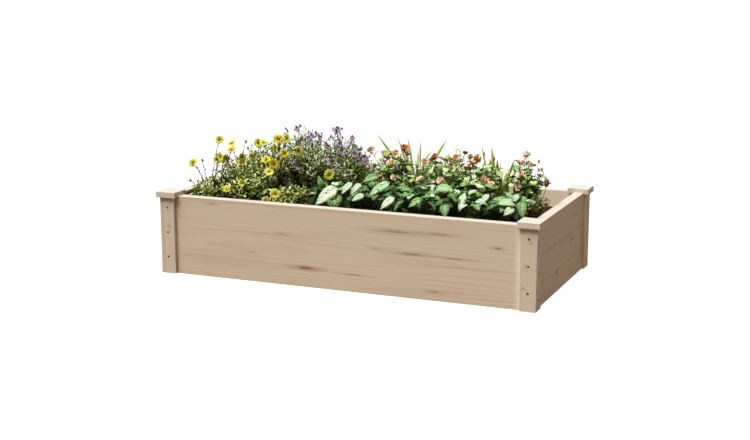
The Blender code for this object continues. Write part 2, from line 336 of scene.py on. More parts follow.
def softwood(name, grain, pith, marks=(), top=1.0, light=0.0, painted_bounce=0.0, highlight_from=NOWHERE):
    """Wood whose grain runs along an axis, past a pith through and across it. A mark is its
    place along and across, its half length and half height, in millimetres, and how dark it is.
    The face at the top is painted paler, a painted highlight where the light falls, and so is what
    lies past a given place along the grain, a painted highlight on the end of a board. A share of
    light pales the wood all over and a share of orange warms it: both are painted light, a brighter
    piece and bounced light with warm shade."""
    wood = Finish(name, Roughness=0.6)
    x, y, z = wood.split(wood.place())
    along, through, across = {"X": (x, y, z), "Y": (y, x, z), "Z": (z, y, x)}[grain]
    lie = wood.node("ShaderNodeCombineXYZ", {}, {0: along, 1: through, 2: across})
    slow, bands, lines = (wood.vector("MULTIPLY", lie, stretch) for stretch in STRETCHES)

    push = heart = ring = 0.0
    for *sizes, dark in marks:
        place_along, place_across, half_length, half_height = (size / 1000 for size in sizes)
        middle = wood.vector("SUBTRACT", lie, (place_along, 0.0, place_across))
        scaled = wood.vector("MULTIPLY", middle, (1 / half_length, 0.0, 1 / half_height))
        far = wood.vector("LENGTH", scaled, (0, 0, 0), out="Value")
        far = far + (wood.noise(bands, 3.0) - 0.5) * 1.1
        heart = heart + wood.ease(far, 1.0, 0.25) * dark
        ring = ring + wood.ease(far, 2.8, 0.6) * (0.72 * dark)
        push = push + wood.ease(far, 4.5, 0.0) * (0.5 * half_height)

    drift = (wood.noise(slow, 1.0, 1.0) - 0.5) * 0.03
    a, b = through - pith[0], across - pith[1]
    growth = (a * a + b * b) ** 0.5 + drift + push
    year = (growth * RINGS_PER_METRE).math("FRACT")
    late = wood.ease(year, 0.35, 0.92) * wood.ease(year, 1.0, 0.93)
    streak = wood.ease(wood.noise(bands, 1.0, 3.0), 0.5, 0.72)
    fibre = wood.noise(lines, 1.0, 2.0)
    layers = [
        (wood.ease(wood.noise(bands, 0.22, 1.0), 0.4, 0.6), PINKISH),
        (wood.ease(wood.noise(slow, 1.6, 1.0), 0.52, 0.72) * 0.28, LATE_WOOD),
        # Painted light: a paler cast, and an orange cast of bounced light and warm shade.
        (light, PAINTED_LIGHT_PALE),
        (painted_bounce, PAINTED_BOUNCE_ORANGE),
        (late * 0.24 + streak * 0.44 + (fibre - 0.5) * 0.75, LATE_WOOD),
        (ring, STREAK),
        (heart, KNOT),
        # Painted highlights: past a given place along the grain, and on the face at the top.
        (wood.ease(along, highlight_from - 0.026, highlight_from) * 0.55, PAINTED_END_HIGHLIGHT),
        (wood.ease(z, top - 0.0016, top - 0.0004) * 0.75, PAINTED_LIGHT_PALE),
    ]
    body = PALE
    for share, colour in layers:
        body = wood.blend(share, body, colour)
    return wood.wear(body, 0.56 + fibre * 0.14, late * 0.3 + fibre * 0.7, depth=0.00025)


def set_finish(node, material):
    """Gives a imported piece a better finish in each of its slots."""
    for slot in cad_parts[node].material_slots:
        slot.material = material


print(f"rings {1000 / RINGS_PER_METRE:.1f} mm apart")

# %% [markdown]
# ## Boards, posts and caps
# Each board has a middle line of its own, and the posts stand at different distances from
# theirs, so no two pieces show the same figure. The marks are placed where such a board
# would show them: mostly one small dark eye, a few brown streaks that the eye ran into, and faint
# pin knots. Some wood is painted paler, a painted highlight: on the front board a strip beside the
# right-hand post, and the rear board all over.

# %% Boards, posts and caps
FRONT_MARKS = (
    (-112, 58, 34, 4.5, 0.95), (-423, 228, 16, 3, 0.4), (-290, 90, 18, 3, 0.25),
    (-190, 155, 14, 3, 0.35), (174, 193, 55, 6, 0.45), (311, 197, 50, 6, 0.35),
    (112, 136, 16, 3, 0.3), (224, 130, 40, 4, 0.6), (357, 129, 48, 2.2, 0.6),
    (483, 171, 14, 4, 0.6), (295, 26, 20, 3.5, 0.5), (45, 52, 40, 2, 0.5),
)
REAR_MARKS = (
    (310, 150, 16, 6, 0.8), (-60, 70, 45, 4, 0.5), (-350, 185, 12, 4.5, 0.6),
    (90, 205, 40, 3, 0.35),
)
RIGHT_MARKS = (
    (-54, 60, 8.5, 7.5, 0.9), (112, 127, 16, 6, 0.55), (-86, 154, 9, 6, 0.3),
    (127, 197, 30, 3, 0.3),
)
LEFT_MARKS = ((75, 165, 9, 8, 0.8), (-120, 85, 22, 4, 0.5))
POST_MARKS = (
    (197, 581, 5, 4, 0.35), (128, 567, 5, 3.5, 0.3), (66, 562, 4.5, 4, 0.3), (150, -570, 6, 4, 0.3),
)
# A board's row: its grain, its pith, its marks, a share of orange that is painted bounce light and
# warm shade, and where a painted highlight begins along it. The rear board is painted pale all
# over.
BOARDS = {
    "front_board": ("X", (-0.38, 0.105), FRONT_MARKS, 0.0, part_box("front_right_post")[0].x),
    "rear_board": ("X", (0.39, 0.16), REAR_MARKS, 0.9, EVERYWHERE),
    "left_board": ("Y", (-0.7, 0.08), LEFT_MARKS, 0.2, NOWHERE),
    "right_board": ("Y", (0.69, 0.15), RIGHT_MARKS, 0.75, NOWHERE),
}
# How much paler each post is painted: painted light, most on the left-hand posts, against their
# shade.
POST_PAINTED_LIGHT = {"front_left": 0.22, "front_right": 0.1, "rear_left": 0.2, "rear_right": 0.1}
for node, (grain, pith, marks, painted_bounce, highlight_from) in BOARDS.items():
    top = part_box(node)[1].z
    set_finish(node, softwood(f"{node}_wood", grain, pith, marks, top, 0.0, painted_bounce, highlight_from))

# The caps are painted paler all over and on their top face: painted light.
cap_wood = softwood("cap_wood", "X", (0.04, 0.33), (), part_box("front_left_cap")[1].z, 0.3)
for corner, light in POST_PAINTED_LIGHT.items():
    post_wood = softwood(f"{corner}_wood", "Z", (0.02, 0.045), POST_MARKS, light=light)
    set_finish(f"{corner}_post", post_wood)
    set_finish(f"{corner}_cap", cap_wood)
print(f"{len(bpy.data.materials)} finishes so far")

# %% [markdown]
# ## The screws
# Each post is held by countersunk wood screws with a cross recess. One screw is turned from a
# circle: extruded and resized into a head, a neck and a point, then the cross is cut by a
# Boolean. It is copied to each packed screw, which says where its head is.

# %% The screws
low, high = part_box("front_left_screw_1")
SCREW_LENGTH, HEAD_WIDTH = high.y - low.y, high.x - low.x
STEPS = ((0.0008, 1.0), (0.0026, 0.55), (SCREW_LENGTH - 0.012, 0.92), (0.0085, 0.05))
screw = start(bpy.ops.mesh.primitive_circle_add, vertices=20, radius=HEAD_WIDTH / 2,
              fill_type="NGON")
pick_all()
for drop, width in STEPS:
    bpy.ops.mesh.extrude_region_move(TRANSFORM_OT_translate={"value": (0, 0, -drop)})
    resize((width, width, 1))
face_outward()
bpy.ops.object.mode_set(mode="OBJECT")
cross = start(bpy.ops.mesh.primitive_cube_add, size=1)
resize((HEAD_WIDTH * 0.62, HEAD_WIDTH * 0.13, 0.004))
bpy.ops.mesh.duplicate()
bpy.ops.transform.rotate(value=math.pi / 2, orient_axis="Z", center_override=(0, 0, 0))
bpy.ops.object.mode_set(mode="OBJECT")
select_only(screw)
modify(screw, "BOOLEAN", object=cross, operation="DIFFERENCE", use_self=True)
close_up(screw, "screw")
bpy.ops.object.shade_smooth_by_angle(angle=math.radians(35))
bpy.data.objects.remove(cross)

steel = Finish("dull_steel", Metallic=0.85, Roughness=0.5)
rust = steel.ease(steel.noise(steel.place(), 900.0, 3.0), 0.42, 0.66)
dulled = steel.blend(rust, (0.15, 0.115, 0.085), (0.08, 0.045, 0.025))
screw.data.materials.append(steel.wear(dulled))
for node in (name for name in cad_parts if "screw" in name):
    low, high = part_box(node)
    middle = (low + high) / 2
    size = high - low
    out = Vector((math.copysign(1, middle.x), 0, 0) if size.x > size.y
                 else (0, math.copysign(1, middle.y), 0))
    mesh = screw.data.copy()
    mesh.transform(Matrix.Translation(middle + out * SCREW_LENGTH / 2)
                   @ out.to_track_quat("Z", "Y").to_matrix().to_4x4())
    copy = add_object(f"{node}_cross_head", mesh)
    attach(copy, "root")
    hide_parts(node)
print(f"screws {SCREW_LENGTH * 1000:.0f} mm long, {len(screw.data.polygons)} faces each")
bpy.data.objects.remove(screw)

# %% [markdown]
# ## The soil
# Potting soil settles into a crumbly surface of low swells and clods. A grid is cut along the
# inner faces of the posts, so that it fits round them, then roughened by three Displace
# modifiers, from swells down to crumbs. Its rim is drawn down to the ground, which closes it.

# %% The soil surface
POST_FACE_X, POST_FACE_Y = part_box("front_right_post")[0].x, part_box("rear_right_post")[0].y
GAP = 0.0003  # between the soil and a post
LUMPS = (("CLOUDS", 0.16, 0.009), ("CLOUDS", 0.022, 0.007), ("STUCCI", 0.009, 0.004))
soil = start(bpy.ops.mesh.primitive_grid_add, x_subdivisions=150, y_subdivisions=68, size=2,
             location=(0, 0, SOIL_LEVEL))
resize((SOIL_HIGH.x, SOIL_HIGH.y, 1), about=(0, 0, SOIL_LEVEL))
for normal, reach in (((1, 0, 0), POST_FACE_X), ((0, 1, 0), POST_FACE_Y)):
    for side in (-1, 1):
        pick_all()
        bpy.ops.mesh.bisect(plane_co=Vector(normal) * side * (reach - GAP), plane_no=normal)
pick(soil, lambda p: abs(p.x) > POST_FACE_X - 0.0004 and abs(p.y) > POST_FACE_Y - 0.0004)
bpy.ops.mesh.delete(type="FACE")
bpy.ops.object.mode_set(mode="OBJECT")
for kind, scale, strength in LUMPS:
    lumps = bpy.data.textures.new(f"soil_{scale}", kind)
    lumps.noise_scale = scale
    modify(soil, "DISPLACE", texture=lumps, strength=strength, mid_level=0.5,
           texture_coords="GLOBAL", direction="Z")
bpy.ops.object.mode_set(mode="EDIT")
pick_all()
bpy.ops.mesh.region_to_loop()
bpy.ops.mesh.extrude_region_move()
resize((1, 1, 0), about=(0, 0, SOIL_LOW.z))
bpy.ops.mesh.edge_face_add()
face_outward()
close_up(soil, "potting_soil")

peat = Finish("damp_potting_soil", Roughness=0.95, Specular_IOR_Level=0.1)
spot = peat.place()
DAMP, BROWN, DRY = (0.008, 0.005, 0.003), (0.03, 0.017, 0.009), (0.085, 0.048, 0.026)
GRIT = (0.4, 0.36, 0.3)
mottle = peat.ramp(peat.noise(spot, 160.0, 4.0), (0.36, DAMP), (0.52, BROWN), (0.66, DRY))
fleck = peat.ease(peat.noise(spot, 420.0, 1.0), 0.7, 0.74)
mottle = peat.blend(fleck * 0.6, mottle, GRIT)
soil.data.materials.append(peat.wear(mottle, None, peat.noise(spot, 500.0, 3.0), depth=0.002))
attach(soil, "root")
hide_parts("soil")
print(f"soil level {SOIL_LEVEL:.3f} m, {len(soil.data.polygons)} faces")

# %% [markdown]
# ## Copying a pattern
# A plant is a few shapes, repeated: one leaf a thousand times, one petal a hundred times. Each
# shape is modelled once, as a pattern one unit long that grows along Y with its upper face to +Z.
# It is read into arrays and copied to all its places at once. Each copy carries a tone, a number
# from 0 to 1 that its finish reads, and a mark for its underside.

# %% Copying a pattern
PATTERNS = {}


def keep_pattern(piece, name, thickness=0.0):
    """Closes a shaped piece, thickened if asked, and keeps it as arrays of triangles."""
    close_up(piece, name)
    if thickness:
        modify(piece, "SOLIDIFY", thickness=thickness, offset=0.0)
    mesh = piece.data
    mesh.calc_loop_triangles()
    faces = mesh.loop_triangles
    points = np.array([v.co for v in mesh.vertices])
    corners = np.array([c for face in faces for c in face.vertices])
    loops = np.array([c for face in faces for c in face.loops])
    spots = np.array([c.uv for c in mesh.uv_layers[0].data])[loops]
    under = np.array([face.normal.z < 0 for face in faces], float)
    PATTERNS[name] = (points, corners, spots, under)
    print(f"{name}: {len(under)} triangles")
    bpy.data.objects.remove(piece)


def copy_out(name, pattern, places, tones):
    """Makes one mesh of many copies of a pattern."""
    points, corners, spots, under = PATTERNS[pattern]
    turns = np.array(places)
    count = len(turns)
    made = np.einsum("nij,pj->npi", turns[:, :3, :3], points) + turns[:, None, :3, 3]
    index = corners[None] + len(points) * np.arange(count)[:, None]
    mesh = bpy.data.meshes.new(name)
    mesh.from_pydata(made.reshape(-1, 3).tolist(), [], index.reshape(-1, 3).tolist(),
                     shade_flat=False)
    mesh.uv_layers.new(name="UVMap").data.foreach_set("uv", np.tile(spots, (count, 1)).ravel())
    for label, values in (("tone", np.repeat(tones, len(under))), ("under", np.tile(under, count))):
        mesh.attributes.new(label, "FLOAT", "FACE").data.foreach_set("value", values)
    return add_object(name, mesh)


def start_grid(columns, rows):
    """A grid one unit long that stands on its root, ready to be shaped."""
    return start(bpy.ops.mesh.primitive_grid_add, x_subdivisions=columns, y_subdivisions=rows,
                 size=1, location=(0, 0.5, 0))


def shape_rows(piece, *rows):
    """Widens and lifts rows of points: each row is its place, its width and its lift."""
    for place, width, lift in rows:
        pick(piece, lambda p: abs(p.y - place) < 0.02)
        resize((width, 1, 1), about=(0, place, 0))
        move((0, 0, lift))


print("copying ready")

# %% [markdown]
# ## Leaf patterns
# The small leaves of the daisies and asters are slim and keeled, and there are thousands of them,
# so a leaflet is a sphere of four segments and four rings, flattened. The broad leaf and the
# round leaf are seen close by: each is a grid whose rows are widened to an outline and lifted
# along their sides, then given a thickness. The broad leaf is quilted between its side veins and
# has a second form that hangs. The round leaf has toothed sides.

# %% Leaflet
leaf = start(bpy.ops.mesh.primitive_uv_sphere_add, segments=4, ring_count=4, radius=0.5,
             location=(0, 0.5, 0), rotation=(-math.pi / 2, 0, 0))
resize((1.0, 1, 0.22), about=(0, 0.5, 0))
shape_rows(leaf, (0.146, 0.8, -0.03), (0.5, 1.0, 0.06), (0.854, 0.8, 0.02), (1.0, 1.0, -0.1))
keep_pattern(leaf, "leaflet")

# %% Broad leaf
ROWS, COLUMNS = 10, 6
for name, droop in (("broad_leaf", 0.3), ("hanging_leaf", 0.62)):
    leaf = start_grid(COLUMNS, ROWS)
    for column in range(COLUMNS + 1):
        across = column / COLUMNS - 0.5
        pick(leaf, lambda p: abs(p.x - across) < 0.02)
        move((0, 0, 0.3 * abs(across) - 0.16 * (abs(across) > 0.4)))
    for row in range(ROWS + 1):
        v = row / ROWS
        outline = 0.06 + 0.98 * math.sin(math.pi * v ** 0.74) ** 0.8 * (1 - 0.25 * v)
        arch = 0.16 * math.sin(math.pi * v) - droop * v * v
        shape_rows(leaf, (v, outline, arch))
        pick(leaf, lambda p: abs(p.y - v) < 0.02 and 0.1 < abs(p.x) / outline < 0.4)
        move((0, 0, 0.022 if row % 2 else -0.012))
    pick_all()
    bpy.ops.transform.vertex_random(offset=0.022, uniform=1.0, normal=0.0, seed=4)
    keep_pattern(leaf, name, 0.012)

# %% Round leaf
leaf = start_grid(4, 6)
for column, lift in ((-0.5, 0.1), (-0.25, 0.06), (0.25, 0.06), (0.5, 0.1)):
    pick(leaf, lambda p: abs(p.x - column) < 0.02)
    move((0, 0, lift))
shape_rows(leaf, (0, 0.34, 0.0), (1 / 6, 0.86, 0.05), (2 / 6, 0.98, 0.07), (3 / 6, 1.06, 0.05),
           (4 / 6, 0.9, 0.01), (5 / 6, 0.72, -0.06), (1, 0.26, -0.15))
for row in (1 / 6, 3 / 6, 5 / 6):
    pick(leaf, lambda p: abs(p.y - row) < 0.02 and abs(p.x) > 0.3)
    resize((1.07, 1, 1), about=(0, row, 0))
    move((0, 0.04, 0))
keep_pattern(leaf, "round_leaf", 0.02)

# %% [markdown]
# ## Flower patterns
# A daisy's petal is a strap with a notched tip and a shallow groove. An aster's is the same idea,
# so small that the leaflet does. The orange flowers are double: their petals are broad, cupped
# and ruffled. Flower centres, buds and crumbs of soil are icospheres, squashed and roughened.

# %% Daisy petal
petal = start_grid(4, 4)
pick(petal, lambda p: abs(abs(p.x) - 0.25) < 0.02)
move((0, 0, 0.035))
shape_rows(petal, (0.0, 0.2, 0.0), (0.25, 0.36, 0.05), (0.5, 0.46, 0.06), (0.75, 0.44, 0.03),
           (1.0, 0.26, -0.05))
pick(petal, lambda p: p.y > 0.95 and abs(p.x) > 0.09)
move((0, -0.08, 0))
pick(petal, lambda p: p.y > 0.95 and abs(p.x) < 0.02)
move((0, -0.05, 0))
keep_pattern(petal, "daisy_petal", 0.022)

# %% Ruffled petal
petal = start_grid(4, 3)
shape_rows(petal, (0.0, 0.34, 0.0), (1 / 3, 0.8, 0.03), (2 / 3, 1.05, 0.12), (1.0, 0.9, 0.3))
for side in (-1, 1):
    pick(petal, lambda p: p.y > 0.6 and side * p.x > 0.4)
    move((0, -0.12, 0.1))
pick(petal, lambda p: p.y > 0.9 and 0.1 < abs(p.x) < 0.35)
move((0, 0.05, -0.1))
keep_pattern(petal, "ruffled_petal", 0.03)

# %% Centre, bud and crumb
BALLS = (("centre", 0.55, 0.1, 2), ("bud", 1.35, 0.04, 2), ("crumb", 0.7, 0.45, 1))
for name, squash, rough, level in BALLS:
    ball = start(bpy.ops.mesh.primitive_ico_sphere_add, subdivisions=level, radius=0.5)
    resize((1, 1, squash))
    bpy.ops.transform.vertex_random(offset=rough, uniform=0.0, normal=1.0, seed=3)
    keep_pattern(ball, name)

# %% [markdown]
# ## Drawing stems
# A stem is easiest to draw as a curve: it has a path, a radius at each point and, for a strap
# leaf, a section that turns along the way. Converted at the end, all the stems of a plant are one
# mesh.

# %% Drawing stems
STRAP = ((-1, 0.22), (0, 0.06), (1, 0.22), (0, -0.06))  # folded along its middle


def draw_stems(name, paths, flat):
    """Makes one mesh of stems that taper, or of flat blades whose radius is half their width."""
    curve = bpy.data.curves.new(name, "CURVE")
    curve.dimensions, curve.use_fill_caps, curve.twist_mode = "3D", True, "Z_UP"
    if flat:
        outline = bpy.data.curves.new("strap_section", "CURVE")
        outline.dimensions = "2D"
        spline = outline.splines.new("POLY")
        spline.points.add(3)
        for point, (x, y) in zip(spline.points, STRAP):
            point.co = (x, y, 0, 1)
        spline.use_cyclic_u = True
        profile = add_object("strap_section", outline)
        curve.bevel_mode, curve.bevel_object = "OBJECT", profile
    else:
        curve.bevel_depth, curve.bevel_resolution = 1.0, 0
    for points, thick, thin, twist in paths:
        spline = curve.splines.new("POLY")
        spline.points.add(len(points) - 1)
        for i, (point, spot) in enumerate(zip(spline.points, points)):
            point.co = (*spot, 1.0)
            share = i / (len(points) - 1)
            width = min(0.75 + share, 5.0 * (1 - share), 1.0) if flat else 1 - share
            point.radius = thin + (thick - thin) * width
            point.tilt = twist * (0.3 + 0.7 * share)
    piece = add_object(name, curve)
    select_only(piece)
    bpy.ops.object.convert(target="MESH")
    bpy.ops.object.shade_smooth()
    if flat:
        bpy.data.objects.remove(profile)
    piece.data.name = name
    return piece


print("stems can be drawn")

# %% [markdown]
# ## Growing a plant
# A plant grows from its root by rule: a stem leaves the crown steeply and bends to where its
# flower or tip belongs, and leaves stand round it, each a golden turn on from the last, as buds
# form on a real stem. This small class collects the stems and the places of leaves and petals,
# then makes one piece of each kind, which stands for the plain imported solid.

# %% Growing a plant
GOLDEN_TURN = math.pi * (3 - math.sqrt(5))
BOARD_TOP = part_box("front_board")[1].z
WALLS = SOIL_HIGH.x - 0.001, SOIL_HIGH.y - 0.001
# Where a copy would first meet a board: at its tip, flat or drooping, or at its sides.
REACHES = [Vector(spot) for spot in ((0, 1, 0), (0, 1, -0.6), (-0.5, 0.4, 0), (0.5, 0.4, 0))]


def metres(place):
    """A place given in millimetres, as across, back and up."""
    return Vector([size / 1000 for size in place])


def sideways(heading, turn=0):
    """A direction square to a heading, turned about it."""
    first = heading.orthogonal().normalized()
    return first * math.cos(turn) + heading.normalized().cross(first) * math.sin(turn)


def opened(face, out, angle):
    """The heading of a leaf or petal opened from a face by an angle, and its upper side."""
    along = face * math.cos(angle) + out * math.sin(angle)
    return along, face * math.sin(angle) - out * math.cos(angle)


class Plant:
    """One plant, its stems and the places of its copied parts."""

    def __init__(self, name, seed, shoots="stems"):
        low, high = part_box(name)
        self.name, self.shoots = name, shoots
        self.chance = random.Random(seed)
        self.root = Vector(((low.x + high.x) / 2, (low.y + high.y) / 2, SOIL_LEVEL))
        self.rise = high.z - SOIL_LEVEL
        self.copies, self.paths = {}, []

    def about(self, low, high):
        return self.chance.uniform(low, high)

    def stray(self, reach):
        return Vector([self.about(-reach, reach) for _ in range(3)])

    def crown(self, reach=0.01):
        """A point on the crown, where stems leave the soil."""
        return self.root + Vector((self.about(-reach, reach), self.about(-reach, reach), -SWELL))

    def near(self, across, back, up, full=1.0):
        """A place by chance, within reaches from the root, the last in shares of the height."""
        spot = self.root + Vector((self.about(*across), self.about(*back), 0))
        spot.z += self.rise * full * self.about(*up)
        return spot

    def put(self, part, pattern, at, along, top, size, tone):
        """Sets a copy that grows along a heading, with its upper face to top. One that would grow
        into a board is left out."""
        along = along.normalized()
        side = along.cross(top)
        if side.length < 1e-4:
            side = along.orthogonal()
        side.normalize()
        turn = Matrix((side * size[0], along * size[1], side.cross(along) * size[2]))
        turn = turn.transposed().to_4x4()
        turn.translation = at
        for spot in REACHES:
            edge = turn @ spot
            if edge.z < BOARD_TOP and (abs(edge.x) > WALLS[0] or abs(edge.y) > WALLS[1]):
                return
        self.copies.setdefault((part, pattern), []).append((turn, min(max(tone, 0.0), 1.0)))

    def stem(self, foot, head, lift, thick, thin, steps=6, twist=0.0, lean=0.35):
        """A stem that leaves its foot steeply and bends towards its head."""
        bend = foot.lerp(head, lean) + self.stray(0.006)
        bend.z = foot.z + lift * (head.z - foot.z)
        shares = [i / steps for i in range(steps + 1)]
        points = [foot * (1 - t) ** 2 + bend * (2 * t * (1 - t)) + head * t * t for t in shares]
        self.paths.append((points, thick, thin, twist))
        return points

    def shoot(self, tip, bends, count, size, spread, since, pattern="leaflet", part="leaves",
              crown=0.01):
        """A stem with leaves round it from a share of its length up, each a golden turn on."""
        points = self.stem(self.crown(crown), tip, *bends)
        turn, last, fresh = self.about(0, math.tau), len(points) - 1, self.about(-0.45, 0.45)
        for i in range(count):
            share = since + (1 - since) * (i + self.chance.random()) / count
            k = min(int(share * last), last - 1)
            at = points[k].lerp(points[k + 1], share * last - k)
            heading = (points[k + 1] - points[k]).normalized()
            out = sideways(heading, turn + i * GOLDEN_TURN)
            along, top = opened(heading, out, spread * self.about(0.75, 1.2))
            top = top + UP * 0.6 + self.stray(0.35)
            scale = self.about(0.6, 1.3) * (1 - 0.35 * share)
            # Lower leaves on a shoot are darker, as old leaves and as painted shade; upper ones are
            # paler, as painted highlight.
            tone = 0.17 + 0.45 * share + fresh + self.about(-0.25, 0.3)
            self.put(part, pattern, at, along, top, [side * scale for side in size], tone)
        return points

    def bush(self, count, full, wide, sag, leaves, size, spread, thick=0.001,
             pattern="leaflet"):
        """Fans shoots out from the crown until they fill a dome, and dresses them with leaves."""
        for i in range(count):
            turn, far = i * GOLDEN_TURN, math.sqrt((i + 0.5) / count)
            tip = self.root + Vector((math.cos(turn), 1.15 * math.sin(turn), 0)) * wide * far
            tip.z += self.rise * full * (1 - sag * far ** 2) * self.about(0.66, 1.03)
            self.shoot(tip, (0.55, thick, thick * 0.5), leaves, size, spread, 0.12, pattern)

    def sprawl(self, count, across, back, up=(0.015, 0.055)):
        """Spreads low, dry shoots over the soil within three reaches from the root."""
        for _ in range(count):
            tip = self.root + Vector([self.about(*reach) for reach in (across, back, up)])
            self.shoot(tip, (0.8, 0.0012, 0.0007), 12, (0.012, 0.022, 0.01), 1.1, 0.1,
                       part="dry_leaves", crown=0.02)

    def whorl(self, part, pattern, at, face, count, width, shape, open_by, inner, tone):
        """Sets petals in a ring round a face, opened from it by an angle. A petal's shape and the
        ring's radius are shares of a width."""
        start_turn = self.about(0, math.tau)
        for i in range(count):
            out = sideways(face, start_turn + math.tau * (i + self.about(-0.12, 0.12)) / count)
            along, top = opened(face, out, open_by + self.about(-0.12, 0.12))
            size = [width * side * self.about(0.9, 1.08) for side in shape]
            shade = tone + self.about(-0.15, 0.15)
            self.put(part, pattern, at + out * (width * inner), along, top, size, shade)

    def ball(self, kind, at, face, width, shape, tone):
        """Sets a centre or bud that faces along a heading."""
        size = [width * side for side in shape]
        self.put(f"{kind}s", kind, at, sideways(face), face, size, tone)

    def make(self, finishes):
        """Makes the plant's pieces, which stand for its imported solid."""
        stems = draw_stems(f"{self.name}_{self.shoots}", self.paths, self.shoots == "blades")
        pieces = {self.shoots: stems}
        for (part, pattern), copies in self.copies.items():
            pieces[part] = copy_out(f"{self.name}_{part}", pattern, *zip(*copies))
        for part, piece in pieces.items():
            piece.data.materials.append(finishes[part])
            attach(piece, "root")
            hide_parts(self.name)
        print(f"{self.name}: {', '.join(pieces)}")


print("plants can grow")

# %% [markdown]
# ## Leaf, stem and petal finishes
# A leaf is darker low on its shoot, where it is old, and that darkness is partly painted shade.
# It is fresher and paler towards the tip of its shoot, where its palest tones are painted
# highlight: its tone says where between the two it lies. Undersides are paler. The broad leaves
# are variegated: their veins are nearly white, and the palest leaves are silver all over.

# %% Leaf, stem and petal finishes
DULL = 0.15


def small_leaf(name, old_and_shaded, fresh, tip, under, roughness=0.5):
    """Three greens along a leaf's tone, mottled, with a paler underside. The darkest green is old
    leaf and painted shade, the palest a painted highlight.
    """
    leaf = Finish(name, Roughness=roughness, Specular_IOR_Level=DULL)
    v = leaf.split(leaf.place("UV"))[1]
    mottle = (leaf.noise(leaf.place(), 260.0) - 0.5) * 0.35
    tone = leaf.attribute("tone") + mottle + v * 0.15 - 0.07
    body = leaf.ramp(tone, (0.05, old_and_shaded), (0.55, fresh), (1.0, tip))
    return leaf.wear(leaf.blend(leaf.attribute("under") * 0.45, body, under))


def veined_leaf(name, greens, vein, under, veins, width, roughness=0.38, rim=0.0):
    """A wide leaf with a midrib and side veins that run out and forward from it. Its fresher
    leaves are marbled with pale patches, most of all along their rims."""
    leaf = Finish(name, Roughness=roughness, Specular_IOR_Level=DULL * 0.6)
    u, v, _ = leaf.split(leaf.place("UV"))
    fresh = leaf.attribute("tone")
    out = (u - 0.5).math("ABSOLUTE") * 2
    body = leaf.ramp(fresh + (leaf.noise(leaf.place(), 150.0) - 0.5) * 0.8, *greens)
    side = (((v - out * 0.4) * veins).math("FRACT") - 0.5).math("ABSOLUTE")
    lines = leaf.ease(side, width * 1.7, width * 0.5) * (1 - out * 0.5)
    ribs = lines.math("MAXIMUM", leaf.ease(out, 0.1, 0.04))
    body = leaf.blend(ribs * (leaf.ease(fresh, -0.1, 0.45) * 0.78), body, vein)
    if rim:
        marbling = leaf.noise(leaf.place(), 170.0, 3.0) * 1.6 + out * 0.3
        patch = leaf.ease(marbling, 0.62, 1.05) * leaf.ease(fresh, 0.58, 0.85)
        body = leaf.blend(patch * rim, body, vein)
    body = leaf.blend(leaf.attribute("under") * 0.6, body, under)
    crinkle = leaf.noise(leaf.place(), 260.0, 2.0) - ribs * 0.5
    return leaf.wear(body, None, crinkle, depth=0.0016)


def petal(name, base, middle, edge, roughness=0.55):
    """A petal's colour from its base to its edge, a little different on each petal."""
    bloom = Finish(name, Roughness=roughness, Specular_IOR_Level=DULL)
    v = bloom.split(bloom.place("UV"))[1]
    shade = v + (bloom.attribute("tone") - 0.5) * 0.9
    return bloom.wear(bloom.ramp(shade, (0.0, base), (0.5, middle), (1.0, edge)))


def stalk(name, low, high, climb=9.0, grain=60.0, uneven=0.8, full=0.9, roughness=0.55):
    """A stem or strap leaf, which changes colour as it climbs from the soil, unevenly."""
    stem = Finish(name, Roughness=roughness, Specular_IOR_Level=DULL)
    spot = stem.place()
    up = (stem.split(spot)[2] - SOIL_LEVEL) * climb + (stem.noise(spot, grain) - 0.5) * uneven
    return stem.wear(stem.ramp(up, (0.1, low), (full, high)))


def knobbly(name, dark, light):
    """A flower's centre, a dome of tiny florets."""
    dome = Finish(name, Roughness=0.8, Specular_IOR_Level=DULL)
    grain = dome.noise(dome.place(), 900.0, 3.0)
    return dome.wear(dome.ramp(grain, (0.38, dark), (0.62, light)))


print("leaf and petal finishes ready")

# %% [markdown]
# ## Colours of the plants
# Each kind of plant has a set of finishes, one for each of its parts. The colours run from old to
# fresh for a leaf, from base to edge for a petal, and from the soil up for a stem.

# %% Colours of the plants
DRY_LEAF = small_leaf("dry_leaf", (0.04, 0.018, 0.006), (0.17, 0.1, 0.026), (0.3, 0.3, 0.07),
                      (0.18, 0.12, 0.045), 0.6)
DAISY = {
    "leaves": small_leaf("daisy_leaf", (0.014, 0.025, 0.004), (0.28, 0.35, 0.042),
                         (0.93, 0.94, 0.42), (0.42, 0.465, 0.17), 0.38),
    "stems": stalk("daisy_stem", (0.04, 0.032, 0.014), (0.085, 0.1, 0.024)),
    "petals": petal("daisy_petal_yellow", (0.46, 0.345, 0.012), (0.68, 0.59, 0.045),
                    (0.77, 0.73, 0.16)),
    "centres": knobbly("daisy_centre", (0.06, 0.04, 0.008), (0.3, 0.17, 0.02)),
    "buds": small_leaf("daisy_bud", (0.05, 0.07, 0.01), (0.18, 0.2, 0.03), (0.42, 0.38, 0.05),
                       (0.2, 0.2, 0.06)),
    "dry_leaves": DRY_LEAF,
}
ASTER = {
    "leaves": small_leaf("aster_leaf", (0.008, 0.018, 0.003), (0.195, 0.3, 0.036),
                         (0.96, 0.99, 0.6), (0.44, 0.52, 0.21), 0.36),
    "stems": stalk("aster_stem", (0.07, 0.05, 0.03), (0.16, 0.17, 0.08)),
    "petals": petal("aster_petal_mauve", (0.7, 0.46, 0.68), (0.64, 0.35, 0.68),
                    (0.85, 0.64, 0.88)),
    "centres": knobbly("aster_centre", (0.2, 0.11, 0.06), (0.52, 0.36, 0.12)),
    "buds": small_leaf("aster_bud", (0.06, 0.04, 0.06), (0.16, 0.1, 0.16), (0.42, 0.26, 0.46),
                       (0.2, 0.16, 0.2)),
}
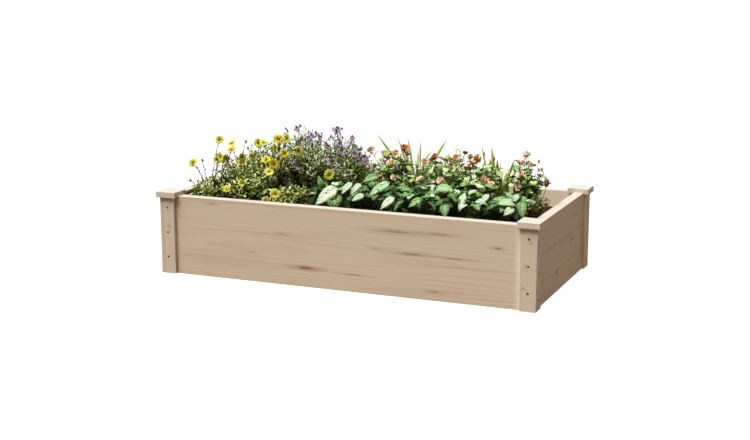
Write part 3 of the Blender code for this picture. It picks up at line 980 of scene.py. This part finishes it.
BROAD_GREENS = ((0.05, (0.006, 0.028, 0.002)), (0.35, (0.044, 0.19, 0.006)),
                (0.65, (0.15, 0.38, 0.022)), (1.0, (0.42, 0.6, 0.22)))
BROAD = {
    "leaves": veined_leaf("broad_leaf_green", BROAD_GREENS, (0.79, 0.86, 0.68),
                          (0.15, 0.3, 0.045), veins=6.0, width=0.13, roughness=0.4, rim=0.9),
    # The stalks are nearly black low down: dark stalk and painted shade under the leaves.
    "stems": stalk("broad_leaf_stalk", (0.02, 0.018, 0.01), (0.07, 0.11, 0.03)),
    "dry_leaves": DRY_LEAF,
}
BROAD["hanging_leaves"] = BROAD["leaves"]
GRASS = {"blades": stalk("strap_leaf", (0.15, 0.23, 0.024), (0.56, 0.64, 0.11), climb=5.0,
                         grain=40.0, uneven=1.2, full=0.8, roughness=0.45)}
BLOOM_GREENS = ((0.05, (0.018, 0.045, 0.006)), (0.32, (0.17, 0.33, 0.05)),
                (0.6, (0.48, 0.67, 0.19)), (1.0, (0.9, 0.95, 0.54)))
BLOOM = {
    "leaves": veined_leaf("bloom_leaf_green", BLOOM_GREENS, (0.56, 0.68, 0.4),
                          (0.34, 0.44, 0.2), veins=5.0, width=0.06),
    "stems": stalk("bloom_stem", (0.11, 0.045, 0.03), (0.24, 0.17, 0.08)),
    "petals": petal("bloom_petal_orange", (0.43, 0.066, 0.018), (0.8, 0.29, 0.115),
                    (0.95, 0.71, 0.5), 0.5),
    "sepals": small_leaf("bloom_sepal", (0.04, 0.06, 0.012), (0.12, 0.15, 0.03),
                         (0.26, 0.24, 0.06), (0.16, 0.18, 0.06)),
    "buds": small_leaf("bloom_bud", (0.16, 0.06, 0.03), (0.42, 0.14, 0.06), (0.62, 0.26, 0.12),
                       (0.3, 0.14, 0.08)),
    "dry_leaves": DRY_LEAF,
}
print(f"{len(bpy.data.materials)} finishes")

# %% [markdown]
# ## Yellow daisies
# Each daisy plant is a bushy mat of small oval leaves with flowers on wiry stems above it. A
# flower is nine to eleven petals round a dark dome, with green sepals behind them. A row of the
# table is how far up the leaves reach, as a share of the height, how far out, and then the flowers
# and the buds that make the plant's outline, each across, back and up from the root. All but the
# shares are in millimetres. Away from the front, one more flower turns up by chance.

# %% Yellow daisies
DAISIES = {
    1: (0.48, 66, ((-65, 0, 135), (30, 0, 214), (20, 0, 150), (26, 10, 158), (62, 20, 180)),
        ((-60, -30, 85), (-50, 30, 140))),
    2: (0.84, 80, ((50, 0, 160), (75, 0, 150), (65, -10, 125), (-15, -40, 90), (-60, -50, 70)),
        ((-15, 50, 168),)),
    3: (0.68, 80, ((-22, -64, 72), (-55, -66, 44), (100, 60, 118)), ()),
    4: (0.84, 80, ((-20, 0, 175), (-45, 0, 125), (20, -10, 135), (10, 0, 115)), ((30, 0, 185),)),
    5: (0.98, 80, ((10, 0, 198), (40, 0, 203), (60, -60, 165), (98, -40, 172), (-55, 20, 180)),
        ((-20, 30, 200),)),
    6: (0.94, 80, ((-20, 20, 150), (35, 30, 135)), ()),
}
BARE_SOIL = {1: (-0.04, 0.06), 3: (0.02, 0.1)}  # the reach of dry shoots beside two plants
LOOK = Vector((0.3, -0.8, 0.42))  # where most flowers face


def daisy_flower(plant, at, face, width):
    """A ring of petals round a dome, and a ring of sepals behind it."""
    tone = plant.about(0.1, 0.8)
    count = plant.chance.choice((9, 10, 11))
    petals, dome, sepals = (0.56, 0.46, 0.46), (0.32, 0.32, 0.28), (0.1, 0.22, 0.14)
    front, back = at + face * width * 0.03, at - face * width * 0.05
    plant.whorl("petals", "daisy_petal", at, face, count, width, petals, 1.3, 0.06, tone)
    plant.ball("centre", front, face, width, dome, tone)
    plant.whorl("leaves", "leaflet", back, face, 6, width, sepals, 1.15, 0.03, 0.5)


for number, (full, wide, heads, buds) in DAISIES.items():
    plant = Plant(f"yellow_daisy_{number}", number - 1)
    plant.bush(66, full, wide / 1000, 0.34, 14, (0.011, 0.0215, 0.009), 1.05)
    spots = [plant.root + metres(head) for head in heads]
    if plant.root.y > -0.1:
        across, back = plant.about(-0.07, 0.07), plant.about(0.04, 0.09)
        spots.append(plant.root + Vector((across, back, plant.rise * plant.about(0.45, 0.7))))
    for spot in spots:
        face = (LOOK + plant.stray(0.5)).normalized()
        plant.shoot(spot, (0.62, 0.0017, 0.001), 12, (0.008, 0.018, 0.006), 0.9, 0.25)
        daisy_flower(plant, spot, face, plant.about(0.026, 0.036))
    for bud in buds:
        tip = plant.root + metres(bud)
        points = plant.shoot(tip, (0.6, 0.0015, 0.0009), 7, (0.006, 0.016, 0.005), 0.8, 0.4)
        plant.ball("bud", points[-1], points[-1] - points[-2], 0.008, (1, 1, 1), 0.6)
    if number in BARE_SOIL:
        plant.sprawl(14, BARE_SOIL[number], (-0.06, 0.05), (0.03, 0.08))
    plant.make(DAISY)

# %% [markdown]
# ## Purple asters
# An aster is a dense bush of upright shoots, each dressed all the way up with narrow leaves that
# are painted paler towards the ends of the shoots, a painted highlight. Small mauve flowers open
# in loose clusters at the ends of the shoots, among darker buds. A row is as for a daisy, with
# clusters in place of flowers.

# %% Purple asters
ASTERS = {
    1: (0.94, 80, ((-55, 0, 240), (-45, -60, 140), (-20, -60, 120), (-10, 0, 210), (27, 0, 212),
        (7, 0, 218))),
    2: (0.94, 80, ((0, 0, 205), (24, 40, 185), (-50, 20, 190))),
    3: (0.95, 80, ((0, 0, 210), (0, 40, 205), (56, 0, 182), (32, -30, 165))),
    4: (0.84, 70, ((-62, 0, 236), (-10, 0, 208), (-30, -40, 180), (18, -20, 160), (32, 0, 152),
        (-40, -60, 112), (6, -20, 162), (24, -20, 150), (12, 0, 178))),
    5: (0.8, 80, ((-30, 0, 120), (20, 30, 110))),
}


def aster_cluster(plant, at, count):
    """A few small flowers close together, with buds between them."""
    tone = plant.about(0.2, 0.8)
    for _ in range(count):
        spot, width = at + plant.stray(0.009), plant.about(0.011, 0.016)
        face = (LOOK * 0.8 + UP * 0.5 + plant.stray(0.6)).normalized()
        plant.whorl("petals", "leaflet", spot, face, 8, width, (0.24, 0.48, 0.14), 1.2, 0.06, tone)
        spot = spot + face * width * 0.03
        plant.ball("centre", spot, face, width, (0.26, 0.26, 0.22), tone)
    for _ in range(3):
        spot = at + plant.stray(0.007) + UP * 0.009
        plant.ball("bud", spot, UP, 0.006, (1, 1, 1), plant.about(0, 0.6))


for number, (full, wide, heads) in ASTERS.items():
    plant = Plant(f"purple_aster_{number}", 19 + number)
    plant.bush(80, full, wide / 1000, 0.28, 20, (0.0085, 0.0215, 0.007), 1.0)
    for head in heads:
        tip = plant.root + metres(head)
        plant.shoot(tip, (0.6, 0.0012, 0.0007), 24, (0.0055, 0.017, 0.0045), 0.9, 0.2)
        aster_cluster(plant, tip, 3)
    for _ in range(4):
        aster_cluster(plant, plant.near((-0.07, 0.07), (-0.08, 0.08), (0.6, 0.92), full), 2)
    plant.make(ASTER)

# %% [markdown]
# ## Broad-leaved plants
# Along the front stand five plants with broad, variegated leaves on stalks from one crown. The
# young leaves in the middle stand up and the older ones hang outward. The few that catch the eye
# are listed: each is its base from the root, its run from there and its width, all in
# millimetres, and its tone. The soil in the right-hand corner stays bare but for dry shoots.

# %% Broad-leaved plants
SHOWN_LEAVES = {
    1: (((31, -58, 84), (12, -21, -38), 55, 0.5), ((42, -54, 104), (-62, -32, -44), 46, 1.0)),
    2: (((-64, -25, 119), (-25, -25, -32), 22, 1.0), ((-31, -35, 120), (-25, -25, -30), 20, 0.95),
        ((-13, -55, 90), (-28, -25, -12), 22, 0.8), ((48, -5, 124), (-48, -50, -34), 30, 0.72),
        ((3, 15, 135), (-31, -40, -8), 32, 0.55)),
    3: (((-57, -55, 90), (-30, -35, -27), 26, 1.0), ((58, -15, 118), (59, -20, 5), 36, 0.66),
        ((30, -55, 90), (-34, -25, -16), 28, 0.6)),
    4: (((-38, -60, 83), (9, -23, -30), 32, 0.42), ((12, -35, 114), (-1, -40, -42), 24, 1.0)),
    5: (((-19, -50, 99), (53, -20, 3), 28, 0.72), ((-54, -35, 116), (-17, -30, -25), 19, 0.95),
        ((49, -50, 107), (8, -25, -40), 32, 0.48), ((28, -60, 87), (-21, -25, -14), 26, 0.8)),
}
TONES = (0.15, 0.25, 0.35, 0.45, 0.5, 0.6, 0.7, 0.8, 0.95)
LEAF_COUNT = 50
BARE_CORNER = 0.52
for number, shown in SHOWN_LEAVES.items():
    plant = Plant(f"broad_leaf_{number}", 40 + number)
    for base, run, width, tone in shown:
        points = plant.stem(plant.crown(), plant.root + metres(base), 0.7, 0.0015, 0.001)
        size = (width / 1000, metres(run).length, width / 1000)
        plant.put("leaves", "broad_leaf", points[-1], metres(run), LOOK + UP * 0.4, size, tone)
    for i in range(LEAF_COUNT):
        turn, age = i * GOLDEN_TURN + number, (i + 0.5) / LEAF_COUNT
        out = Vector((math.cos(turn), 0.95 * math.sin(turn), 0))
        base = plant.root + out * (0.012 + 0.052 * age ** 0.6) + plant.stray(0.007)
        base.z = plant.root.z + plant.rise * (0.98 - 0.52 * age ** 1.3) * plant.about(0.85, 1.0)
        low_in_front = base.z - plant.root.z < 0.075 and out.y < -0.1
        if base.x > BARE_CORNER or low_in_front and i % 3:
            continue
        points = plant.stem(plant.crown(), base, 0.55, 0.0014, 0.0009)
        tilt = 0.7 - 1.05 * age
        along = out * math.cos(tilt) + UP * math.sin(tilt) + plant.stray(0.3)
        length = plant.about(0.03, 0.052) * (0.75 + 0.3 * age)
        # Leaves low in front are painted nearly black, a painted shade under the leaf mass, and
        # older leaves a little darker.
        tone = plant.chance.choice(TONES) - 0.15 * age - 0.55 * low_in_front
        kind = ("hanging_leaves", "hanging_leaf") if age > 0.4 else ("leaves", "broad_leaf")
        size = (length * plant.about(0.76, 0.98), length, length)
        plant.put(*kind, points[-1], along, UP + out * 0.3 + plant.stray(0.35), size, tone)
    if number == 5:
        plant.sprawl(22, (0.01, 0.075), (-0.07, 0.08), (0.025, 0.06))
        plant.sprawl(50, (0.03, 0.073), (-0.02, 0.16), (0.055, 0.095))
    plant.make(BROAD)

# %% [markdown]
# ## Strap grasses
# Two tufts of strap leaves stand at the back. Each blade is a curve with a folded section, wide
# near its foot and tapering to a point. The tips that show over the flowers are listed, after a
# number that says how far along its run a blade bends.

# %% Strap grasses
BLADES = {
    1: (0.35, ((-134, -10, 212), (-67, 0, 205), (-33, 0, 204), (10, 0, 202), (102, 0, 210))),
    2: (0.85, ((-64, 0, 201), (-31, 0, 192), (-37, 0, 157))),
}
for number, (lean, tips) in BLADES.items():
    plant = Plant(f"strap_grass_{number}", 49 + number, "blades")
    for tip in tips:
        twist, tip = plant.about(1.2, 1.8), plant.root + metres(tip)
        plant.stem(plant.crown(0.012), tip, 0.55, 0.005, 0.0004, 12, twist, lean)
    for i in range(18):
        turn = i * GOLDEN_TURN
        tip = plant.root + Vector((math.cos(turn), math.sin(turn), 0)) * plant.about(0.03, 0.075)
        tip.z += plant.rise * plant.about(0.45, 0.85)
        plant.stem(plant.crown(0.012), tip, 0.7, 0.0042, 0.0003, 12, plant.about(-1.5, 1.5))
    plant.make(GRASS)

# %% [markdown]
# ## Orange-flowered plants
# These are bushy, with rounded, toothed leaves on reddish stems and full, ruffled flowers like
# small roses. A flower is three rings of petals, each ring smaller and more upright. The last
# plant also lets one large bud nod over its edge. A row is as for an aster, with single flowers.

# %% Orange-flowered plants
BLOOMS = {
    1: (0.98, 68, ((-85, 0, 183), (-70, 0, 136), (-38, 0, 172), (-42, -30, 104), (-3, 0, 178),
        (24, 0, 192), (40, 0, 190), (1, -40, 150), (17, -60, 113))),
    2: (0.92, 80, ((-46, 0, 158), (-17, 0, 172), (-39, -50, 110), (30, -60, 113), (54, 0, 176))),
    3: (0.95, 80, ((7, -60, 154), (24, -70, 116), (-40, 30, 140), (30, 40, 145))),
    4: (0.9, 80, ((-18, 0, 180), (27, -60, 123), (49, -60, 113), (-50, 30, 150))),
    5: (0.93, 64, ((-21, 0, 176), (8, 0, 178), (-3, 0, 200), (-2, -40, 146), (-10, -60, 111))),
}
NODDING_BUD = (62, 0, 120)


def double_flower(plant, at, face, width):
    """Three rings of petals, one inside another."""
    tone = plant.about(0.0, 1.0)
    for count, share, open_by in ((5, 0.56, 1.15), (4, 0.46, 0.75), (3, 0.32, 0.35)):
        shape = (share * 1.1, share, share)
        for _ in range(count):
            lean = (face + plant.stray(0.45)).normalized()
            plant.whorl("petals", "ruffled_petal", at, lean, 1, width, shape, open_by, 0.03, tone)
    back = at - face * width * 0.05
    plant.whorl("sepals", "leaflet", back, face, 5, width, (0.12, 0.25, 0.1), 1.4, 0, 0.5)


for number, (full, wide, heads) in BLOOMS.items():
    plant = Plant(f"orange_bloom_{number}", 59 + number)
    size = (0.024, 0.028, 0.022)
    plant.bush(34, full, wide / 1000, 0.28, 9, size, 1.05, 0.0016, "round_leaf")
    for head in heads:
        tip, size = plant.root + metres(head), (0.02, 0.024, 0.019)
        face = (LOOK + UP * 0.2 + plant.stray(0.5)).normalized()
        plant.shoot(tip, (0.6, 0.0014, 0.0009), 6, size, 1.0, 0.35, "round_leaf")
        double_flower(plant, tip, face, plant.about(0.019, 0.03))
    plant.sprawl(12, (-0.05, 0.07), (-0.08, 0.07))
    for _ in range(3):
        tip = plant.near((-0.05, 0.04), (-0.05, 0.07), (0.7, 0.9))
        plant.stem(plant.crown(), tip, 0.6, 0.0012, 0.0007)
        plant.ball("bud", tip, UP, 1, (0.007, 0.007, 0.009), plant.about(0.2, 1))
    if number == 5:
        tip = plant.root + metres(NODDING_BUD)
        points = plant.stem(plant.crown(), tip, 0.5, 0.0012, 0.0008, lean=0.9)
        heading = points[-1] - points[-2]
        plant.ball("bud", tip, heading, 0.016, (1, 1, 1.25), 0.2)
        plant.whorl("sepals", "leaflet", tip, heading, 5, 1, (0.006, 0.016, 0.005), 0.4, 0.003, 0.9)
    plant.make(BLOOM)

# %% [markdown]
# ## Crumbs on the soil
# Loose crumbs of peat are strewn over the whole surface, and show where the plants leave it bare.

# %% Crumbs on the soil
chance = random.Random(7)
places, tones = [], []
for _ in range(1500):
    x = chance.uniform(SOIL_LOW.x, SOIL_HIGH.x) * 0.97
    y = chance.uniform(SOIL_LOW.y, SOIL_HIGH.y) * 0.95
    if abs(x) > POST_FACE_X - 0.005 and abs(y) > POST_FACE_Y - 0.005:
        continue
    size = chance.uniform(0.002, 0.008)
    spin = Matrix.Rotation(chance.uniform(0, 6), 4, "Z")
    squash = Matrix.Diagonal((size, size * chance.uniform(0.6, 1.0), size, 1))
    places.append(Matrix.Translation((x, y, SOIL_LEVEL + size * 0.1)) @ spin @ squash)
    tones.append(chance.random())
crumbs = copy_out("soil_crumbs", "crumb", places, tones)
crumbs.data.materials.append(soil.data.materials[0])
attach(crumbs, "root")
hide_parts("soil")
print(f"{len(places)} crumbs")
